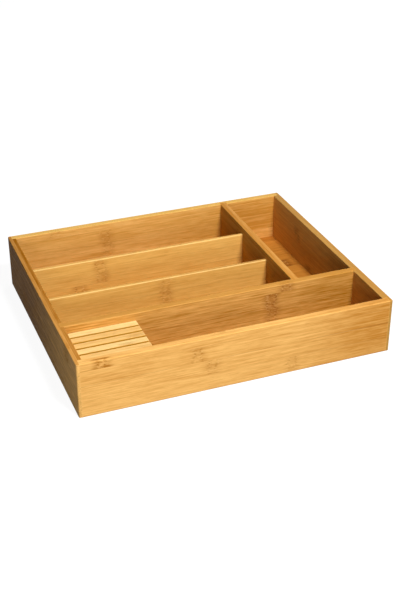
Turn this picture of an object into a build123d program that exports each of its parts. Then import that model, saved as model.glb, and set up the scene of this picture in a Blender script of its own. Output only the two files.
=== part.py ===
from build123d import *
import os

# Cutlery tray of laminated bamboo boards, with a lift-out knife block.
# Sizes are in millimetres. The origin is the middle of the footprint, at the
# surface that the tray stands on. +X is to the right, +Y to the back, +Z up.

# Overall size of the tray
tray_width = 400.0
tray_depth = 340.0
tray_height = 72.0

# Boards
wall_thickness = 9.5
divider_thickness = 9.5
low_divider_thickness = 5.0
low_divider_height = 55.0
panel_thickness = 4.0

# Layout: lanes of equal depth from front to back, and one compartment at the right
lane_count = 4
low_divider_count = 2
side_compartment_width = 74.0

# Joinery
corner_lip = 4.0
wall_housing_depth = 4.5
tee_housing_depth = 3.0
low_housing_depth = 3.0
panel_recess = 3.0
panel_groove_depth = 4.0
panel_play = 0.3

# Eased edges
corner_round = 2.0
rim_round = 1.0
foot_round = 0.8
low_divider_round = 1.4

# Knife block
block_length = 88.0
block_play = 0.4
slat_count = 6
slat_height = 55.0
slat_round = 0.8
slot_width = 2.7
spacer_height = 15.0

# Planes that follow from these sizes
left, right = -tray_width / 2, tray_width / 2
front, back = -tray_depth / 2, tray_depth / 2
inner_left, inner_right = left + wall_thickness, right - wall_thickness
inner_front, inner_back = front + wall_thickness, back - wall_thickness
panel_top = panel_recess + panel_thickness

dividers_depth = divider_thickness + low_divider_count * low_divider_thickness
lane_depth = (inner_back - inner_front - dividers_depth) / lane_count
long_front = inner_front + lane_depth
long_back = long_front + divider_thickness
cross_right = inner_right - side_compartment_width
cross_left = cross_right - divider_thickness

full_height = (0, tray_height)
above_panel = (panel_top, tray_height)


def board(x_range, y_range, z_range):
    """Return the square-edged board that fills three ranges of coordinates."""
    ranges = (x_range, y_range, z_range)
    middle = [(low + high) / 2 for low, high in ranges]
    size = [high - low for low, high in ranges]
    return Pos(*middle) * Box(*size)


def top_edges(solid):
    """Return the edges round the top of a solid."""
    return solid.faces().sort_by(Axis.Z)[-1].edges()


def finished_form():
    """Return the glued-up tray as it is sanded, to which its boards are trimmed."""
    form = board((left, right), (front, back), full_height)
    form = fillet(form.edges().filter_by(Axis.Z), corner_round)
    form = fillet(form.faces().sort_by(Axis.Z)[0].edges(), foot_round)
    wells = (
        ((inner_left, inner_right), (inner_front, long_front)),
        ((inner_left, cross_left), (long_back, inner_back)),
        ((cross_right, inner_right), (long_back, inner_back)),
    )
    for well_x, well_y in wells:
        form -= board(well_x, well_y, above_panel)
    return fillet(top_edges(form), rim_round)


form = finished_form()

# Base panel, whose edges float in the grooves of the walls
panel_reach = panel_groove_depth - panel_play
base_panel = board(
    (inner_left - panel_reach, inner_right + panel_reach),
    (inner_front - panel_reach, inner_back + panel_reach),
    (panel_recess, panel_top),
)


# Low dividers, which stand in stopped housings
def low_divider(number):
    """Return one of the low dividers, counted from the front."""
    lanes_before = (number + 1) * lane_depth + number * low_divider_thickness
    divider_front = long_back + lanes_before
    divider = board(
        (inner_left - low_housing_depth, cross_left + low_housing_depth),
        (divider_front, divider_front + low_divider_thickness),
        (panel_top, panel_top + low_divider_height),
    )
    return fillet(top_edges(divider).filter_by(Axis.X), low_divider_round)


low_dividers = [low_divider(number) for number in range(low_divider_count)]

# Full-height dividers, housed in the walls and one in the other
cross_divider = form & board(
    (cross_left, cross_right),
    (long_back - tee_housing_depth, inner_back + wall_housing_depth),
    above_panel,
)
for divider in low_dividers:
    cross_divider -= divider

long_divider = form & board(
    (inner_left - wall_housing_depth, inner_right + wall_housing_depth),
    (long_front, long_back),
    above_panel,
)
long_divider -= cross_divider


# Walls: rabbeted corners, a groove for the panel and housings for the dividers
def wall_space(wall_front):
    """Return the space of the front or the back wall between the corner lips."""
    return board(
        (left + corner_lip, right - corner_lip),
        (wall_front, wall_front + wall_thickness),
        full_height,
    )


def grooved(wall):
    """Return a wall with the panel's groove run along its inner face."""
    return wall - board(
        (inner_left - panel_groove_depth, inner_right + panel_groove_depth),
        (inner_front - panel_groove_depth, inner_back + panel_groove_depth),
        (panel_recess, panel_top),
    )


front_wall = grooved(form & wall_space(front))
back_wall = grooved(form & wall_space(inner_back)) - cross_divider


def side_wall(wall_left):
    """Return the left or the right wall, whose lips cover the other walls' ends."""
    wall = form & board((wall_left, wall_left + wall_thickness), (front, back), full_height)
    wall = grooved(wall - wall_space(front) - wall_space(inner_back)) - long_divider
    for divider in low_dividers:
        wall -= divider
    return wall


left_wall = side_wall(left)
right_wall = side_wall(inner_right)

# Knife block: upright slats with spacers between their feet, so that the slots
# are open above and at both ends. It stands loose on the panel.
slots_depth = (slat_count - 1) * slot_width
slat_thickness = (lane_depth - 2 * block_play - slots_depth) / slat_count
slat_pitch = slat_thickness + slot_width
block_x = (inner_left + block_play, inner_left + block_play + block_length)
block_front = inner_front + block_play


def knife_slat(number):
    """Return one of the slats, counted from the front, with its top edges eased."""
    slat_front = block_front + number * slat_pitch
    slat = board(
        block_x,
        (slat_front, slat_front + slat_thickness),
        (panel_top, panel_top + slat_height),
    )
    return fillet(top_edges(slat), slat_round)


def knife_spacer(number):
    """Return the spacer behind one of the slats, which sets the slot's width."""
    spacer_front = block_front + number * slat_pitch + slat_thickness
    return board(
        block_x,
        (spacer_front, spacer_front + slot_width),
        (panel_top, panel_top + spacer_height),
    )


# One file for each piece
pieces = {
    "front_wall": front_wall,
    "back_wall": back_wall,
    "left_wall": left_wall,
    "right_wall": right_wall,
    "base_panel": base_panel,
    "long_divider": long_divider,
    "cross_divider": cross_divider,
}
for number, divider in enumerate(low_dividers, start=1):
    pieces[f"low_divider_{number}"] = divider
for number in range(slat_count):
    pieces[f"knife_slat_{number + 1}"] = knife_slat(number)
for number in range(slat_count - 1):
    pieces[f"knife_spacer_{number + 1}"] = knife_spacer(number)

os.makedirs("parts", exist_ok=True)
for name, piece in pieces.items():
    export_step(piece, f"parts/{name}.step")
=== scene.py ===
from dataclasses import dataclass
from math import radians

import bpy
from bpy.props import FloatProperty, FloatVectorProperty, PointerProperty
from mathutils import Color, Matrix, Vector


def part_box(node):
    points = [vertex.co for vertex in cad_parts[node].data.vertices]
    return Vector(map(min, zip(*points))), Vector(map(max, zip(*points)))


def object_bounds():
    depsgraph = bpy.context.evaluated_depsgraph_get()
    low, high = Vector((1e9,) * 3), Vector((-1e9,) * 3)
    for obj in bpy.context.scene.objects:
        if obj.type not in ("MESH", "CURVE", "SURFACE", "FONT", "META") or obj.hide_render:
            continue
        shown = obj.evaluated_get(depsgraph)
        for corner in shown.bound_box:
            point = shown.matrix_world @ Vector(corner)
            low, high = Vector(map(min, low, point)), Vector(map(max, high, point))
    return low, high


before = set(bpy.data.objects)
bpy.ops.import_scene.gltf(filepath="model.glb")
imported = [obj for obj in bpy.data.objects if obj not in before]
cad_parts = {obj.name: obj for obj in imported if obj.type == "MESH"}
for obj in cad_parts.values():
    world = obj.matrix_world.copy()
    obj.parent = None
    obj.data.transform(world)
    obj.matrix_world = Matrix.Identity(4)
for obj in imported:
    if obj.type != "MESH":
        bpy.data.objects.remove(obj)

bl_info = {
    "name": "Bamboo Cutlery Tray",
    "version": (1, 0, 0),
    "blender": (4, 5, 0),
    "location": "3D View > Sidebar > Cutlery Tray",
    "description": "Finishes a bamboo cutlery tray with a knife block and sets up its studio",
    "category": "Object",
}

CAD_BOX = [list(corner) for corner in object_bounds()]


# Settings

def colour(name, description, default):
    """Return a colour property of the sidebar."""
    return FloatVectorProperty(
        name=name, description=description, default=default, subtype="COLOR", size=3, min=0, max=1
    )


def share(name, description, default):
    """Return a property that runs from 0 to 1."""
    return FloatProperty(
        name=name, description=description, default=default, min=0, max=1, subtype="FACTOR"
    )


def length(name, description, default):
    """Return a property in metres."""
    return FloatProperty(name=name, description=description, default=default, min=0, unit="LENGTH")


def power(name, description, default):
    """Return a lamp's power in watts."""
    return FloatProperty(name=name, description=description, default=default, min=0, unit="POWER")


def angle(name, description, degrees):
    """Return an angle property, given in degrees."""
    return FloatProperty(
        name=name, description=description, default=radians(degrees), subtype="ANGLE"
    )


class BambooSettings(bpy.types.PropertyGroup):
    """Colours, lacquer and sizes of the bamboo boards."""

    wall_pale: colour("Wall, pale", "Pale fibres of the walls and tall dividers", (0.90, 0.51, 0.155))
    wall_dark: colour("Wall, dark", "Dark fibres of the front wall", (0.54, 0.22, 0.031))
    back_dark: colour("Back wall, dark", "Dark fibres of the back wall", (0.56, 0.252, 0.037))
    back_top: colour("Back wall, top", "Paler top of the back wall", (0.95, 0.60, 0.15))
    # Painted shade: these dark fibres are darkened for the shade on the left wall's outer face.
    left_shaded_dark: colour("Left wall, dark", "Dark fibres of the left wall", (0.24, 0.095, 0.006))
    left_top: colour("Left wall, top", "Browner top of the left wall", (0.46, 0.14, 0.0))
    right_dark: colour("Right wall, dark", "Dark fibres of the right wall", (0.43, 0.12, 0.003))
    # Painted shade: a darker colour laid over the right wall's sides below its top, for the shade on
    # them.
    right_side_shade: colour("Right wall, side", "Browner sides of the right wall", (0.46, 0.33, 0.085))
    right_top: colour("Right wall, top", "Browner top of the right wall", (0.485, 0.272, 0.063))
    long_dark: colour("Long divider, dark", "Dark fibres of the long divider", (0.36, 0.14, 0.004))
    long_top: colour("Long divider, top", "Browner top of the long divider", (0.56, 0.243, 0.037))
    # Painted shade: a darker colour laid over the cross divider's sides below its top, for the shade on
    # them.
    cross_side_shade: colour("Cross divider, side", "Browner sides of the cross divider", (0.30, 0.19, 0.010))
    cross_top: colour("Cross divider, top", "Browner top of the cross divider", (0.50, 0.16, 0.0))
    low_pale: colour("Low divider, pale", "Pale fibres of the low dividers", (0.88, 0.52, 0.138))
    low_dark: colour("Low divider, dark", "Dark fibres of the low dividers", (0.56, 0.252, 0.037))
    panel_pale: colour("Base panel, pale", "Pale fibres of the base panel", (0.61, 0.255, 0.040))
    panel_dark: colour("Base panel, dark", "Dark fibres of the base panel", (0.36, 0.118, 0.011))
    slat_pale: colour("Slat, pale", "Palest fibres of the knife block", (0.94, 0.68, 0.29))
    slat_dark: colour("Slat, dark", "Darkest fibres of the knife block", (0.82, 0.45, 0.125))
    # Painted shade: the brown of the slat faces inside the knife block, for the shade in the knife slots.
    slot_shade: colour("Slot wall", "Brown of the sawn walls in the knife slots", (0.50, 0.215, 0.0))
    knuckle: colour("Knuckle", "Stain, dark flecks and pores of the bamboo", (0.43, 0.165, 0.020))
    dark_knuckle: colour("Dark knuckle", "Knuckles of the browner boards", (0.27, 0.085, 0.010))
    fleck: colour("Pale fleck", "Pale flecks in the bamboo's knuckles", (0.96, 0.64, 0.24))
    glue: colour("Glue line", "Thin line where two strips or plies are glued", (0.30, 0.12, 0.03))
    strip_width: length("Strip width", "Width of one glued bamboo strip", 0.0201)
    edge_width: length("Sanded edge", "Width of the sanded edges of the boards", 0.0015)
    roughness: share("Lacquer roughness", "Roughness of the satin lacquer", 0.45)
    gloss: share("Lacquer gloss", "Strength of the lacquer's reflections", 0.04)


class StudioSettings(bpy.types.PropertyGroup):
    """Camera, lamps and floor."""

    camera_place: FloatVectorProperty(
        name="Camera place", description="Where the camera stands", default=(-0.446, -1.188, 0.753),
        unit="LENGTH",
    )
    camera_down: angle("Camera tilt", "Angle of the view below the horizon", 29.94)
    camera_right: angle("Camera turn", "Angle of the view to the right of straight ahead", 21.16)
    lens: FloatProperty(
        name="Lens", description="Focal length in millimetres", default=67.1, min=1, unit="CAMERA"
    )
    key_power: power("Key lamp", "Power of the large lamp at the front", 35.6)
    fill_power: power("Fill lamp", "Power of the low lamp at the front left", 4.3)
    back_power: power("Back lamp", "Power of the low lamp behind the tray, at the right", 20.0)
    ambient: share("Ambient light", "Strength of the even light from the room", 0.05)
    floor_bounce: share("Floor bounce", "Share of its light that the floor throws back on the tray", 0.16)
    floor_glow: share("Floor glow", "Light that the floor adds where it is seen", 0.93)
    floor_reach: length("Floor reach", "From the middle of the floor to its edges", 6.0)


# Shader helpers

AXES = "XYZ"
FLOAT, VECTOR = "NodeSocketFloat", "NodeSocketVector"
MIX_SHARE, MIX_BELOW, MIX_ABOVE, MIX_RESULT = 0, 6, 7, 2    # sockets of a Mix node for colours
NOISE_MIDDLE = 0.5                                          # a noise node's results lie about it


class Number:
    """A number in a node tree. Python's signs on it add Math nodes to the tree."""

    def __init__(self, socket):
        self.socket = socket
        self.tree = socket.id_data

    def __add__(self, other):
        return calc("ADD", self, other)

    def __sub__(self, other):
        return calc("SUBTRACT", self, other)

    def __rsub__(self, other):
        return calc("SUBTRACT", other, self)

    def __mul__(self, other):
        return calc("MULTIPLY", self, other)

    def __truediv__(self, other):
        return calc("DIVIDE", self, other)

    def __abs__(self):
        return calc("ABSOLUTE", self)


def connect(value, socket):
    """Link a number or an output to a socket, or set the socket to a plain value."""
    if isinstance(value, Number):
        value = value.socket
    if isinstance(value, bpy.types.NodeSocket):
        socket.id_data.links.new(value, socket)
    else:
        socket.default_value = value


def add_node(tree, kind, values=None, **settings):
    """Add a node to a tree, change its settings, and set or link its inputs."""
    node = tree.nodes.new(kind)
    for name, value in settings.items():
        setattr(node, name, value)
    for name, value in (values or {}).items():
        connect(value, node.inputs[name])
    return node


def calc(operation, *values, clamp=False):
    """Return the result of a Math node, of which at least one value is a Number."""
    tree = next(value.tree for value in values if isinstance(value, Number))
    inputs = dict(enumerate(values))
    node = add_node(tree, "ShaderNodeMath", inputs, operation=operation, use_clamp=clamp)
    return Number(node.outputs[0])


def clamped(number):
    """Return a number kept between 0 and 1."""
    return calc("MULTIPLY", number, 1.0, clamp=True)


def smallest(*numbers):
    """Return the smallest of some numbers."""
    result, *others = numbers
    for number in others:
        result = calc("MINIMUM", result, number)
    return result


def largest(*numbers):
    """Return the largest of some numbers."""
    result, *others = numbers
    for number in others:
        result = calc("MAXIMUM", result, number)
    return result


def smooth(number, start, end):
    """Return 0 at start and 1 at end, with a smooth step between them, which may run downwards."""
    inputs = {"Value": number, "From Min": start, "From Max": end}
    node = add_node(number.tree, "ShaderNodeMapRange", inputs, interpolation_type="SMOOTHSTEP")
    return Number(node.outputs["Result"])


def split(tree, vector):
    """Return a vector's three numbers."""
    node = add_node(tree, "ShaderNodeSeparateXYZ", {"Vector": vector})
    return [Number(output) for output in node.outputs]


def rgba(shade):
    """Return a plain colour with full alpha, and a colour from a node as it is."""
    return shade if isinstance(shade, bpy.types.NodeSocket) else (*shade, 1.0)


def cover(below, cover_share, above):
    """Return a colour that another one covers by a share from 0 to 1."""
    inputs = {MIX_SHARE: cover_share, MIX_BELOW: rgba(below), MIX_ABOVE: rgba(above)}
    node = add_node(cover_share.tree, "ShaderNodeMix", inputs, data_type="RGBA")
    return node.outputs[MIX_RESULT]


def to_faces(tree, position, low, high):
    """Return how far inside the nearer face of a box a position lies, along X, Y and Z."""
    above_low, below_high = (
        add_node(tree, "ShaderNodeVectorMath", {0: first, 1: second}, operation="SUBTRACT").outputs[0]
        for first, second in ((position, low), (high, position))
    )
    nearer = add_node(tree, "ShaderNodeVectorMath", {0: above_low, 1: below_high}, operation="MINIMUM")
    return split(tree, nearer.outputs[0])


def new_group(name, inputs, outputs):
    """Return a shader node group, its input node's sockets and its output node's sockets."""
    group = bpy.data.node_groups.new(name, "ShaderNodeTree")
    for label, kind, default in inputs:
        socket = group.interface.new_socket(label, in_out="INPUT", socket_type=kind)
        socket.default_value = default
    for label in outputs:
        group.interface.new_socket(label, in_out="OUTPUT", socket_type=FLOAT)
    given = group.nodes.new("NodeGroupInput").outputs
    made = group.nodes.new("NodeGroupOutput").inputs
    return group, given, made


# The grain. A place in the wood is given along the grain, across the strips and through the board.

WOOD_PLACE = ("Along", "Across", "Through")
WOOD_INPUTS = [(label, FLOAT, 0.0) for label in (*WOOD_PLACE, "Seed")]


@dataclass
class Grain:
    """A noise in the wood: its waves in a metre along and across the grain, and its finer layers."""

    along: float
    across: float
    detail: float = 1.0
    roughness: float = 0.5


BROAD_BANDS = Grain(along=6.5, across=120.0, detail=2.0)
FINE_STREAKS = Grain(along=23.0, across=600.0, detail=3.0, roughness=0.6)
MOTTLING = Grain(along=70.0, across=330.0)
DARK_LINES = Grain(along=6.0, across=420.0)
SHORT_PORES = Grain(along=90.0, across=1400.0)
ROW_WAVES = Grain(along=40.0, across=130.0, detail=2.0)
KNUCKLE_FLECKS = Grain(along=260.0, across=800.0, detail=2.0, roughness=0.7)
KNUCKLE_CLOUDS = Grain(along=45.0, across=170.0)
KNUCKLE_SWIRLS = Grain(along=55.0, across=60.0)
GLUE_PATCHES = Grain(along=7.0, across=30.0, detail=2.0)
EDGE_PATCHES = Grain(along=150.0, across=150.0, detail=2.0)


def noise(grain, place, seed):
    """Return a noise about 0 at a place in the wood."""
    tree = place[0].tree
    waves = (grain.along, grain.across, grain.across)
    scaled = {number: at * scale for number, (at, scale) in enumerate(zip(place, waves))}
    inputs = {
        "Vector": add_node(tree, "ShaderNodeCombineXYZ", scaled).outputs[0],
        "W": seed,
        "Scale": 1.0,
        "Detail": grain.detail,
        "Roughness": grain.roughness,
    }
    node = add_node(tree, "ShaderNodeTexNoise", inputs, noise_dimensions="4D")
    return Number(node.outputs["Fac"]) - NOISE_MIDDLE


def wood_noises(given, *grains):
    """Return some noises at the place in the wood that a group is given."""
    place = [Number(given[label]) for label in WOOD_PLACE]
    return [noise(grain, place, given["Seed"]) for grain in grains]


# Shared effects

def close_group(group, made, results):
    """Link the results of a group to its outputs and return the group."""
    for label, result in results.items():
        connect(result, made[label])
    return group


def fibres_effect():
    """Fibres: broad bands, fine streaks, mottling, single dark lines and short pores."""
    band_share, streak_share, mottle_share = 0.65, 1.8, 0.45
    line_limits, pore_limits = (0.14, 0.24), (0.10, 0.22)
    pore_depth_share = 0.6

    group, given, made = new_group("Bamboo fibres", WOOD_INPUTS, ("Tone", "Lines", "Pores", "Height"))
    bands, streaks, mottle, lines, pores = wood_noises(
        given, BROAD_BANDS, FINE_STREAKS, MOTTLING, DARK_LINES, SHORT_PORES
    )
    pores = smooth(pores, *pore_limits)
    return close_group(group, made, {
        "Tone": bands * band_share + streaks * streak_share + mottle * mottle_share,
        "Lines": smooth(lines, *line_limits),
        "Pores": pores,
        "Height": streaks - pores * pore_depth_share,
    })


def knuckle_effect():
    """A knuckle of the cane: two rows of dark and pale flecks, a brown stain, and bent fibres.

    A reach is two distances in metres: where something starts to show, and where it shows in full.
    """
    row_swing = 0.014
    middle_to_row = 0.0052
    row_reach, middle_reach = (0.0030, 0.0004), (0.0110, 0.0045)
    stain_reach, bend_reach = (0.016, 0.003), (0.016, 0.003)
    bend_size = 0.010
    dark_limits, pale_limits, cloud_limits = (0.00, 0.12), (-0.03, -0.14), (-0.20, 0.10)
    dark_row_share, dark_middle_share = 0.32, 0.22
    pale_row_share, pale_middle_share = 0.40, 0.30
    least_stain_share, stain_gain, mark_gain = 0.28, 0.40, 2.2
    pale_gain, pale_end = 1.3, 1.25

    inputs = WOOD_INPUTS + [("Place", FLOAT, 0.0), ("Strength", FLOAT, 0.5)]
    group, given, made = new_group("Bamboo knuckle", inputs, ("Mark", "Pale", "Bend"))
    waves, flecks, clouds, swirls = wood_noises(
        given, ROW_WAVES, KNUCKLE_FLECKS, KNUCKLE_CLOUDS, KNUCKLE_SWIRLS
    )
    strength = Number(given["Strength"])
    from_middle = abs(Number(given["Along"]) - given["Place"] - waves * row_swing)
    in_row = smooth(abs(from_middle - middle_to_row), *row_reach)
    in_middle = smooth(from_middle, *middle_reach)
    dark = smooth(flecks, *dark_limits) * (in_row * dark_row_share + in_middle * dark_middle_share)
    pale = smooth(flecks, *pale_limits) * (in_row * pale_row_share + in_middle * pale_middle_share)
    stain = smooth(from_middle, *stain_reach) * smooth(clouds, *cloud_limits)
    mark = stain * (strength * stain_gain + least_stain_share) + dark
    return close_group(group, made, {
        "Mark": clamped(mark * strength * mark_gain),
        "Pale": clamped(pale * strength * (pale_end - strength) * pale_gain),
        "Bend": swirls * smooth(from_middle, *bend_reach) * bend_size,
    })


def glue_line(distance, shown, opened):
    """Return the mask of a glue line, which is wider and darker where it stands open."""
    closed_half_width, opening, core = 0.00045, 0.0003, 0.0001
    return smooth(distance, opened * opening + closed_half_width, core) * (shown + opened)


def glue_effect():
    """Glue lines between the strips of a board and between its plies, and the number of each."""
    patch_limits = (-0.12, 0.14)
    chance_step_share = 0.45
    strip_middle = 0.5

    inputs = WOOD_INPUTS + [
        ("First Seam", FLOAT, 0.0), ("Strip Width", FLOAT, 0.02), ("Ply Seam", FLOAT, 0.0),
        ("Open Seams", FLOAT, 0.0), ("Open Ply", FLOAT, 0.0),
    ]
    group, given, made = new_group("Glue lines", inputs, ("Line", "Strip", "Ply"))
    strip = (Number(given["Across"]) - given["First Seam"]) / given["Strip Width"]
    from_middle = abs(calc("FRACT", strip) - strip_middle)
    to_seam = (strip_middle - from_middle) * given["Strip Width"]
    past_ply = Number(given["Through"]) - given["Ply Seam"]
    patches, = wood_noises(given, GLUE_PATCHES)
    shown = smooth(patches, *patch_limits)
    chance = calc("FRACT", calc("ROUND", strip) * chance_step_share)
    seam = glue_line(to_seam, shown, chance * given["Open Seams"])
    ply_line = glue_line(abs(past_ply), shown, Number(given["Open Ply"]))
    return close_group(group, made, {
        "Line": largest(seam, ply_line),
        "Strip": calc("FLOOR", strip),
        "Ply": calc("GREATER_THAN", past_ply, 0.0),
    })


def edges_effect():
    """Sanded edges: a mask along the edges of a box, broken up by noise."""
    inputs = [
        ("Position", VECTOR, (0, 0, 0)), ("Low Corner", VECTOR, (0, 0, 0)),
        ("High Corner", VECTOR, (0, 0, 0)), ("Width", FLOAT, 0.002),
    ]
    group, given, made = new_group("Sanded edges", inputs, ("Mask",))
    x, y, z = to_faces(group, given["Position"], given["Low Corner"], given["High Corner"])
    to_edge = smallest(largest(x, y), largest(y, z), largest(x, z))
    patches = noise(EDGE_PATCHES, split(group, given["Position"]), 0.0)
    reach = (patches + 1.0) * given["Width"]
    return close_group(group, made, {"Mask": smooth(to_edge, reach, 0.0)})


EFFECTS = {}


def use(tree, effect, values):
    """Place a shared effect in a material, fill its inputs and return its outputs as numbers."""
    if effect not in EFFECTS:
        EFFECTS[effect] = effect()
    node = add_node(tree, "ShaderNodeGroup", node_tree=EFFECTS[effect])
    for label, value in values.items():
        connect(value, node.inputs[label])
    return {output.name: Number(output) for output in node.outputs}


# Boards

@dataclass
class Board:
    """How one board is cut from bamboo.

    The grain runs along one axis, and the strips lie side by side along another. Each strip,
    counted from the lowest one up, has the place of its knuckle along the board, its tone from
    dark 0 to pale 1, and its knuckle's strength. Places are in metres from the board's low end.
    The second ply is the half of the board's thickness on the side of the higher coordinate.
    """

    node: str
    strips: tuple
    grain: str = "X"
    across: str = "Z"
    first_seam: float = 0.0             # from the board's low edge to its lowest seam, metres
    contrast: float = 0.9               # how far the fibres' tones lie apart
    second_ply_tone: float = 0.0        # added to the tone of the second ply
    second_ply_strength: float = 0.25   # share of their strength that its knuckles keep
    fade: float = 0.0                   # how much darker the board grows along the grain,
    fade_start: float = 0.55            # from this share of its length
    fade_end: float = 1.0               # to this one
    top_fade_share: float = 1.0         # share of the fade that its top has
    open_seams: float = 0.0             # how far its seams open where it has faded
    open_ply: float = 0.0               # how far the seam between its plies stands open
    gloss: float = 1.0                  # share of the lacquer's gloss
    seed: float = 0.0


@dataclass
class Shades:
    """Colours of one board, and the shares by which some of them cover its fibres."""

    pale: Color
    dark: Color
    knuckle: Color
    edge: Color = None
    edge_share: float = 0.25
    top: Color = None
    top_share: float = 0.6
    # Painted shade: the side colour darkens the board's sides, as the shade on them.
    side: Color = None
    side_share: float = 0.45
    side_box: tuple = None              # the painted shade of the sides lies inside this box, by default under the top


class BambooMaterial:
    """The node material of one board, made from where each point lies in the wood."""

    def __init__(self, board, shades):
        """Find the place in the wood, add the grain to it, and set the shader's inputs."""
        self.board = board
        self.shades = shades
        self.settings = bpy.context.scene.tray_bamboo
        self.material = bpy.data.materials.new(f"bamboo_{board.node}")
        self.material.use_nodes = True
        self.tree = self.material.node_tree
        self.find_place()
        self.add_grain()
        shader = self.tree.nodes["Principled BSDF"]
        connect(self.colour(), shader.inputs["Base Color"])
        connect(self.roughness(), shader.inputs["Roughness"])
        connect(self.normal(), shader.inputs["Normal"])
        shader.inputs["Specular IOR Level"].default_value = self.settings.gloss * board.gloss

    def find_place(self):
        """Find where a point lies in the wood, on the top and along the fade."""
        top_skin = (0.0004, 0.0001)
        axes = [AXES.index(self.board.grain), AXES.index(self.board.across)]
        axes += {0, 1, 2} - set(axes)
        self.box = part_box(self.board.node)
        self.low, self.high = ([corner[axis] for axis in axes] for corner in self.box)
        self.length, self.width = self.high[0] - self.low[0], self.high[1] - self.low[1]
        self.position = add_node(self.tree, "ShaderNodeTexCoord").outputs["Object"]
        coordinates = split(self.tree, self.position)
        self.place = dict(zip(WOOD_PLACE, (coordinates[axis] for axis in axes)))
        self.on_top = smooth(self.box[1].z - coordinates[2], *top_skin)
        fade_from, fade_to = (
            self.low[0] + fade_share * self.length
            for fade_share in (self.board.fade_start, self.board.fade_end)
        )
        self.fade = smooth(self.place["Along"], fade_from, fade_to)

    def strip_facts(self):
        """Return the knuckle's share of the length, the tone and the knuckle's strength of a strip.

        They are the red, green and blue of a stepped colour ramp that runs across the board.
        """
        from_low = (self.place["Across"] - self.low[1]) / self.width
        ramp = add_node(self.tree, "ShaderNodeValToRGB", {"Fac": from_low})
        ramp.color_ramp.interpolation = "CONSTANT"
        steps = ramp.color_ramp.elements
        steps.remove(steps[1])
        for number, (knuckle_place, tone, strength) in enumerate(self.board.strips):
            seam = self.board.first_seam + (number - 1) * self.settings.strip_width
            step = steps[0] if number == 0 else steps.new(seam / self.width)
            step.color = (knuckle_place / self.length, tone, strength, 1.0)
        facts = add_node(self.tree, "ShaderNodeSeparateColor", {0: ramp.outputs["Color"]})
        return [Number(output) for output in facts.outputs]

    def add_grain(self):
        """Add the glue lines, knuckles, fibres and sanded edges, and work out the tone."""
        strip_seed_step, ply_seed_step, ply_knuckle_share = 3.7, 11.3, 0.37
        board, tree, place = self.board, self.tree, self.place
        knuckle_share, tone, strength = self.strip_facts()
        self.glue = use(tree, glue_effect, {
            **place,
            "Seed": board.seed,
            "First Seam": self.low[1] + board.first_seam,
            "Strip Width": self.settings.strip_width,
            "Ply Seam": (self.low[2] + self.high[2]) / 2,
            "Open Seams": clamped(self.fade * board.open_seams),
            "Open Ply": board.open_ply,
        })
        strip, ply = self.glue["Strip"], self.glue["Ply"]
        seed = strip * strip_seed_step + ply * ply_seed_step + board.seed
        knuckle_at = calc("FRACT", ply * ply_knuckle_share + knuckle_share) * self.length + self.low[0]
        self.knuckle = use(tree, knuckle_effect, {
            **place,
            "Seed": seed,
            "Place": knuckle_at,
            "Strength": strength * (ply * (board.second_ply_strength - 1) + 1),
        })
        self.fibres = use(tree, fibres_effect, {
            **place,
            "Across": place["Across"] + self.knuckle["Bend"],
            "Seed": seed,
        })
        self.edges = use(tree, edges_effect, {
            "Position": self.position,
            "Low Corner": tuple(self.box[0]),
            "High Corner": tuple(self.box[1]),
            "Width": self.settings.edge_width,
        })
        fade = self.fade * (self.on_top * (board.top_fade_share - 1) + 1)
        tone = tone + ply * board.second_ply_tone - fade * board.fade
        self.tone = clamped(tone + self.fibres["Tone"] * board.contrast)

    def colour(self):
        """Return the colour of the wood, with painted shade on its sides where a side colour is given."""
        line_share, pore_share, glue_share = 0.22, 0.25, 0.40
        settings, shades = self.settings, self.shades
        wood = cover(shades.dark, self.tone, shades.pale)
        wood = cover(wood, self.fibres["Lines"] * line_share, settings.knuckle)
        wood = cover(wood, self.fibres["Pores"] * pore_share, settings.knuckle)
        wood = cover(wood, self.glue["Line"] * glue_share, settings.glue)
        wood = cover(wood, self.knuckle["Mark"], shades.knuckle)
        wood = cover(wood, self.knuckle["Pale"], settings.fleck)
        wood = cover(wood, self.edges["Mask"] * shades.edge_share, shades.edge or shades.pale)
        # Painted shade: a darker colour over the sides, for the shade on them.
        if shades.side:
            wood = cover(wood, self.on_shaded_sides() * shades.side_share, shades.side)
        if shades.top:
            wood = cover(wood, self.on_top * shades.top_share, shades.top)
        return wood

    def on_shaded_sides(self):
        """Return the mask of the painted shade: 1 a little inside the box of the sides, and 0 at its
        faces.
        """
        side_skin = (0.0001, 0.0004)
        beyond = 1.0
        under_top = (Vector((-beyond, -beyond, -beyond)), Vector((beyond, beyond, self.box[1].z)))
        low, high = self.shades.side_box or under_top
        return smooth(smallest(*to_faces(self.tree, self.position, low, high)), *side_skin)

    def roughness(self):
        """Return the roughness of the lacquer, which is rougher on open grain and sanded edges."""
        fibre_gain, mark_gain, edge_gain = 0.25, 0.20, 0.10
        grain = self.fibres["Height"] * fibre_gain + self.knuckle["Mark"] * mark_gain
        return clamped(grain + self.edges["Mask"] * edge_gain + self.settings.roughness)

    def normal(self):
        """Return the normal, with the relief of the fibres, knuckles and glue lines."""
        glue_depth_share, relief_strength, relief_depth = 0.6, 0.25, 0.0002
        height = self.fibres["Height"] - self.knuckle["Mark"] - self.glue["Line"] * glue_depth_share
        inputs = {"Height": height, "Strength": relief_strength, "Distance": relief_depth}
        return add_node(self.tree, "ShaderNodeBump", inputs).outputs["Normal"]


def finish(board, **shades):
    """Give one piece its bamboo, in the front wall's shades where no others are given."""
    settings = bpy.context.scene.tray_bamboo
    usual = {"pale": settings.wall_pale, "dark": settings.wall_dark, "knuckle": settings.knuckle}
    material = BambooMaterial(board, Shades(**{**usual, **shades})).material
    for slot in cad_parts[board.node].material_slots:
        slot.material = material


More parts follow.
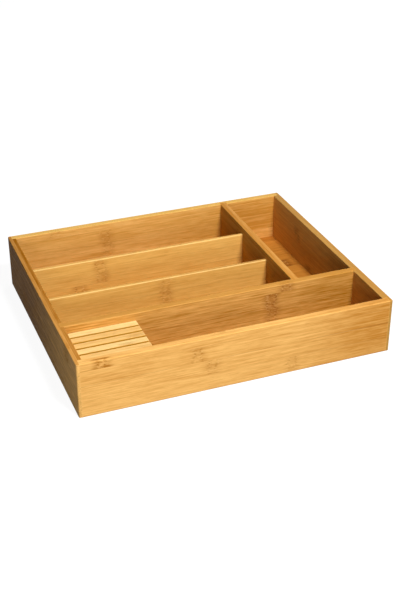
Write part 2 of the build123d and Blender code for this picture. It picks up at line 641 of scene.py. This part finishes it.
FRONT_WALL = Board(
    "front_wall",
    strips=(
        (0.270, 0.62, 0.20),
        (0.262, 0.76, 0.30),
        (0.159, 0.68, 0.35),
        (0.141, 0.62, 0.38),
        (0.026, 0.66, 1.00),
    ),
    first_seam=0.0012,
    fade=0.50,
    fade_start=0.62,
    open_seams=2.0,
    seed=1.0,
)
BACK_WALL = Board(
    "back_wall",
    strips=(
        (0.300, 0.38, 0.20),
        (0.220, 0.74, 0.30),
        (0.134, 0.41, 0.40),
        (0.131, 0.40, 0.42),
        (0.058, 0.50, 0.30),
    ),
    first_seam=0.0018,
    second_ply_tone=-0.15,
    fade=0.27,
    fade_start=0.45,
    fade_end=0.85,
    seed=7.0,
)
# Painted shade: the left wall's fade darkens it towards the back, less on its top, for the shade on its
# outer face.
LEFT_WALL = Board(
    "left_wall",
    strips=(
        (0.110, 0.86, 0.20),
        (0.250, 0.82, 0.30),
        (0.190, 0.84, 0.20),
        (0.045, 0.82, 0.40),
    ),
    grain="Y",
    first_seam=0.011,
    contrast=0.8,
    second_ply_tone=-0.40,
    fade=0.78,
    fade_start=0.0,
    fade_end=0.75,
    top_fade_share=0.36,
    open_ply=0.6,
    gloss=0.1,
    seed=13.0,
)
RIGHT_WALL = Board(
    "right_wall",
    strips=(
        (0.210, 0.32, 0.50),
        (0.130, 0.28, 0.50),
        (0.250, 0.30, 0.50),
        (0.080, 0.20, 0.20),
    ),
    grain="Y",
    first_seam=0.016,
    contrast=0.85,
    second_ply_tone=-0.06,
    fade=-0.50,
    fade_start=0.1,
    fade_end=0.9,
    top_fade_share=0.45,
    seed=19.0,
)
LONG_DIVIDER = Board(
    "long_divider",
    strips=(
        (0.060, 0.38, 0.30),
        (0.273, 0.39, 0.45),
        (0.271, 0.39, 0.50),
        (0.292, 0.43, 0.42),
    ),
    first_seam=0.014,
    contrast=0.72,
    fade=0.18,
    fade_start=0.70,
    seed=25.0,
)
CROSS_DIVIDER = Board(
    "cross_divider",
    strips=(
        (0.120, 0.30, 0.30),
        (0.060, 0.30, 0.30),
        (0.170, 0.30, 0.30),
        (0.100, 0.22, 0.20),
    ),
    grain="Y",
    first_seam=0.018,
    second_ply_tone=0.35,
    seed=31.0,
)
FRONT_LOW_DIVIDER = Board(
    "low_divider_1",
    strips=(
        (0.160, 0.44, 0.35),
        (0.160, 0.50, 0.45),
        (0.159, 0.54, 0.40),
    ),
    first_seam=0.015,
    contrast=0.65,
    seed=37.0,
)
BACK_LOW_DIVIDER = Board(
    "low_divider_2",
    strips=(
        (0.066, 0.51, 0.50),
        (0.098, 0.59, 0.42),
        (0.096, 0.65, 0.42),
    ),
    first_seam=0.020,
    contrast=0.65,
    seed=43.0,
)


def panel_board(strip_width):
    """Return the base panel's board, whose strips differ by a pattern that doesn't repeat nearby."""
    first_knuckle_share, knuckle_step_share, strength = 0.13, 0.37, 0.8
    darkest, tone_step, tone_count, tone_stride, first_tone = 0.40, 0.05, 7, 2, 4
    low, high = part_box("base_panel")
    strips = []
    for number in range(int((high.y - low.y) / strip_width) + 2):
        knuckle_share = (first_knuckle_share + number * knuckle_step_share) % 1
        tone = darkest + tone_step * ((first_tone + number * tone_stride) % tone_count)
        strips.append((knuckle_share * (high.x - low.x), tone, strength))
    return Board(
        "base_panel", tuple(strips), across="Y", first_seam=0.008, second_ply_strength=1.0, seed=49.0
    )


# The one strip that each slat of the knife block shows, from the front slat to the back one
SLAT_STRIPS = (
    (0.030, 0.50, 0.30),
    (0.080, 0.25, 0.30),
    (0.062, 0.68, 0.30),
    (0.078, 0.28, 0.35),
    (0.050, 0.28, 0.20),
    (0.020, 0.75, 0.20),
)
SPACER_STRIP = (0.05, 0.5, 0.5)
SLAT_STRIP_COUNT = 4
SLAT_FIRST_SEAM = 0.014
FIRST_SLAT_SEED, FIRST_SPACER_SEED = 61.0, 81.0


# Operators

class TRAY_OT_walls(bpy.types.Operator):
    """Finish the four walls"""

    bl_idname = "tray.walls"
    bl_label = "Walls"

    def execute(self, context):
        settings = context.scene.tray_bamboo
        finish(FRONT_WALL)
        finish(BACK_WALL, dark=settings.back_dark, top=settings.back_top, top_share=0.5)
        finish(LEFT_WALL, dark=settings.left_shaded_dark, top=settings.left_top, top_share=0.45)
        # Painted shade: the right wall's sides take its side colour, darker below the top.
        finish(
            RIGHT_WALL, dark=settings.right_dark, knuckle=settings.dark_knuckle,
            side=settings.right_side_shade, top=settings.right_top, top_share=0.65,
        )
        return {"FINISHED"}


class TRAY_OT_tall_dividers(bpy.types.Operator):
    """Finish the long divider and the cross divider"""

    bl_idname = "tray.tall_dividers"
    bl_label = "Tall dividers"

    def execute(self, context):
        settings = context.scene.tray_bamboo
        finish(
            LONG_DIVIDER, dark=settings.long_dark, knuckle=settings.dark_knuckle, top=settings.long_top
        )
        # Painted shade: the cross divider's sides take its side colour, darker below the top.
        finish(CROSS_DIVIDER, side=settings.cross_side_shade, top=settings.cross_top, top_share=0.4)
        return {"FINISHED"}


class TRAY_OT_low_dividers(bpy.types.Operator):
    """Finish the two thin low dividers, whose sanded tops are paler"""

    bl_idname = "tray.low_dividers"
    bl_label = "Low dividers"

    def execute(self, context):
        settings = context.scene.tray_bamboo
        for board in (FRONT_LOW_DIVIDER, BACK_LOW_DIVIDER):
            finish(
                board, pale=settings.low_pale, dark=settings.low_dark,
                edge=settings.slat_pale, edge_share=0.75,
            )
        return {"FINISHED"}


class TRAY_OT_base_panel(bpy.types.Operator):
    """Finish the base panel"""

    bl_idname = "tray.base_panel"
    bl_label = "Base panel"

    def execute(self, context):
        settings = context.scene.tray_bamboo
        finish(
            panel_board(settings.strip_width), pale=settings.panel_pale, dark=settings.panel_dark,
            knuckle=settings.dark_knuckle,
        )
        return {"FINISHED"}


class TRAY_OT_knife_block(bpy.types.Operator):
    """Finish the slats and spacers of the knife block"""

    bl_idname = "tray.knife_block"
    bl_label = "Knife block"

    def execute(self, context):
        settings = context.scene.tray_bamboo
        block = (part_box("knife_slat_1")[0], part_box(f"knife_slat_{len(SLAT_STRIPS)}")[1])
        for number, strip in enumerate(SLAT_STRIPS):
            slat = Board(
                f"knife_slat_{number + 1}", strips=(strip,) * SLAT_STRIP_COUNT,
                first_seam=SLAT_FIRST_SEAM, seed=FIRST_SLAT_SEED + number,
            )
            # Painted shade: the slat faces inside the block take the slot colour, for the shade in the
            # slots.
            finish(
                slat, pale=settings.slat_pale, dark=settings.slat_dark,
                side=settings.slot_shade, side_share=0.9, side_box=block,
            )
        for number in range(len(SLAT_STRIPS) - 1):
            finish(Board(f"knife_spacer_{number + 1}", (SPACER_STRIP,), seed=FIRST_SPACER_SEED + number))
        return {"FINISHED"}


WHITE = (1, 1, 1, 1)


@dataclass
class Lamp:
    """A square lamp that shines at the origin, with the setting that holds its power."""

    name: str
    place: tuple
    size: float
    power: str
    glossy: bool = True                 # whether the lacquer reflects it


LAMPS = (
    Lamp("key_lamp", place=(0.20, -1.05, 1.40), size=0.32, power="key_power"),
    Lamp("fill_lamp", place=(-0.60, -1.20, 0.25), size=0.40, power="fill_power"),
    Lamp("back_lamp", place=(1.15, 1.35, 0.30), size=0.60, power="back_power", glossy=False),
)


class TRAY_OT_studio(bpy.types.Operator):
    """Set up the pale floor, the soft lamps and the camera"""

    bl_idname = "tray.studio"
    bl_label = "Studio"

    def execute(self, context):
        settings = context.scene.tray_studio
        self.room(context, settings)
        self.floor(context, settings)
        for lamp in LAMPS:
            self.hang(context, settings, lamp)
        self.camera(context, settings)
        context.scene.view_settings.view_transform = "Standard"
        return {"FINISHED"}

    def seen(self, tree):
        """Return 1 where a camera, glossy or glass ray sees the background, and 0 for other rays."""
        rays = add_node(tree, "ShaderNodeLightPath").outputs
        return largest(*(Number(rays[f"Is {kind} Ray"]) for kind in ("Camera", "Glossy", "Transmission")))

    def room(self, context, settings):
        """Make the room white where it is seen, and dim as a source of light."""
        world = bpy.data.worlds.new("studio_room")
        world.use_nodes = True
        background = world.node_tree.nodes["Background"]
        background.inputs["Color"].default_value = WHITE
        strength = calc("MAXIMUM", self.seen(world.node_tree), settings.ambient)
        connect(strength, background.inputs["Strength"])
        context.scene.world = world

    def floor(self, context, settings):
        """Lay a large pale floor that keeps a faint shadow."""
        reach, height = settings.floor_reach, CAD_BOX[0][2]
        corners = [(x * reach, y * reach, height) for x, y in ((-1, -1), (1, -1), (1, 1), (-1, 1))]
        mesh = bpy.data.meshes.new("studio_floor")
        mesh.from_pydata(corners, [], [range(len(corners))])
        mesh.materials.append(self.floor_material(settings))
        floor = bpy.data.objects.new("studio_floor", mesh)
        context.scene.collection.objects.link(floor)

    def floor_material(self, settings):
        """Return a matt material that glows almost white where it is seen."""
        material = bpy.data.materials.new("pale_floor")
        material.use_nodes = True
        tree = material.node_tree
        tree.nodes.remove(tree.nodes["Principled BSDF"])
        grey = rgba([settings.floor_bounce] * 3)
        matt = add_node(tree, "ShaderNodeBsdfDiffuse", {"Color": grey}).outputs[0]
        glow = add_node(tree, "ShaderNodeEmission", {"Color": WHITE, "Strength": settings.floor_glow})
        pale = add_node(tree, "ShaderNodeAddShader", {0: matt, 1: glow.outputs[0]}).outputs[0]
        mixed = add_node(tree, "ShaderNodeMixShader", {0: self.seen(tree), 1: matt, 2: pale})
        connect(mixed.outputs[0], tree.nodes["Material Output"].inputs["Surface"])
        return material

    def hang(self, context, settings, lamp):
        """Hang one soft lamp."""
        light = bpy.data.lights.new(lamp.name, "AREA")
        light.shape = "SQUARE"
        light.size = lamp.size
        light.energy = getattr(settings, lamp.power)
        holder = bpy.data.objects.new(lamp.name, light)
        holder.location = lamp.place
        holder.rotation_euler = (-Vector(lamp.place)).to_track_quat("-Z", "Y").to_euler()
        holder.visible_glossy = lamp.glossy
        context.scene.collection.objects.link(holder)

    def camera(self, context, settings):
        """Stand the camera at the photograph's viewpoint."""
        data = bpy.data.cameras.new("camera")
        data.lens = settings.lens
        level = radians(90)
        camera = bpy.data.objects.new("camera", data)
        camera.location = settings.camera_place
        camera.rotation_euler = (level - settings.camera_down, 0, -settings.camera_right)
        context.scene.collection.objects.link(camera)
        context.scene.camera = camera


OPERATORS = (
    TRAY_OT_studio,
    TRAY_OT_walls,
    TRAY_OT_tall_dividers,
    TRAY_OT_low_dividers,
    TRAY_OT_base_panel,
    TRAY_OT_knife_block,
)


class TRAY_PT_sidebar(bpy.types.Panel):
    """Sidebar with the tray's pieces and settings"""

    bl_label = "Cutlery Tray"
    bl_space_type = "VIEW_3D"
    bl_region_type = "UI"
    bl_category = "Cutlery Tray"

    def draw(self, context):
        for operator in OPERATORS:
            self.layout.operator(operator.bl_idname)
        for group in (context.scene.tray_bamboo, context.scene.tray_studio):
            box = self.layout.box()
            for name in group.__annotations__:
                box.prop(group, name)


CLASSES = (BambooSettings, StudioSettings, *OPERATORS, TRAY_PT_sidebar)


def register():
    """Register the classes and hang their settings on the scene."""
    for each in CLASSES:
        bpy.utils.register_class(each)
    bpy.types.Scene.tray_bamboo = PointerProperty(type=BambooSettings)
    bpy.types.Scene.tray_studio = PointerProperty(type=StudioSettings)


def unregister():
    """Take the settings and the classes off again."""
    del bpy.types.Scene.tray_bamboo
    del bpy.types.Scene.tray_studio
    for each in reversed(CLASSES):
        bpy.utils.unregister_class(each)


def main():
    """Build the whole scene."""
    register()
    bpy.ops.tray.studio()
    bpy.ops.tray.walls()
    bpy.ops.tray.tall_dividers()
    bpy.ops.tray.low_dividers()
    bpy.ops.tray.base_panel()
    bpy.ops.tray.knife_block()


if __name__ == "__main__":
    main()
